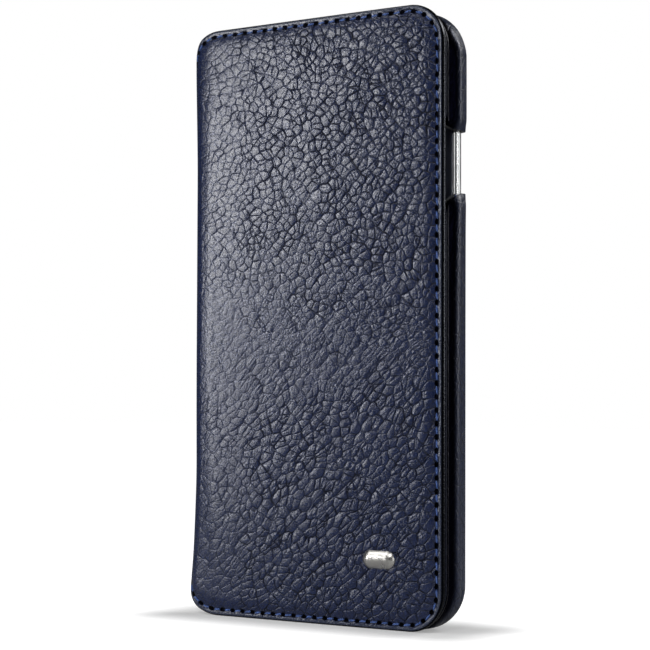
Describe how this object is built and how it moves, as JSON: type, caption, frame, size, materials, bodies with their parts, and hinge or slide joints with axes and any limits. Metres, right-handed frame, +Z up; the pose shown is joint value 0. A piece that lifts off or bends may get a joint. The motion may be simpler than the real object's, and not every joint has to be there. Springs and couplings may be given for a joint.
{
  "type": "phone wallet case",
  "caption": "Leather book-style phone case: a moulded holder with a rounded tray, a hinged grained flap with card and bill pockets, a side key cut-out and a small metal badge",
  "frame": {"origin": "centre of the bounding box's base: the lower edge the case stands on", "axes": "+X to the right seen from the front, +Y from the flap to the back of the holder, +Z up along the height"},
  "size_m": [0.0852, 0.0154, 0.1646],
  "materials": {
    "grain_leather": "pebbled navy floater leather, semi-matt",
    "smooth_leather": "smooth navy nappa, semi-matt",
    "inner_leather": "fine-grained thin navy leather",
    "microfibre": "brushed microfibre",
    "clear_shell": "clear moulded polycarbonate",
    "board": "plain stiffening board",
    "steel": "plain plated steel",
    "polished_metal": "polished nickel"
  },
  "bodies": {
    "holder": {"holder_shell": "clear_shell", "holder_skin": "smooth_leather", "holder_lining": "microfibre", "rim_frame": "smooth_leather", "keeper_lower": "steel", "keeper_upper": "steel", "hinge_tab": "grain_leather"},
    "spine": {"spine_leather": "grain_leather", "spine_lining": "inner_leather"},
    "cover": {"cover_leather": "grain_leather", "cover_board": "board", "magnet_lower": "steel", "magnet_upper": "steel", "cover_lining": "inner_leather", "bill_pocket": "inner_leather", "card_pocket_1": "inner_leather", "card_pocket_2": "inner_leather", "card_pocket_3": "inner_leather", "badge": "polished_metal", "badge_clip": "steel"}
  },
  "joints": [
    {"name": "spine_fold", "type": "hinge", "parent": "holder", "child": "spine", "pos_m": [-0.0413, 0.00643, 0.0823], "axis": [0, 0, -1], "range_deg": [0, 175]},
    {"name": "cover_fold", "type": "hinge", "parent": "spine", "child": "cover", "pos_m": [-0.0413, -0.00533, 0.0823], "axis": [0, 0, -1], "range_deg": [0, 175]}
  ]
}
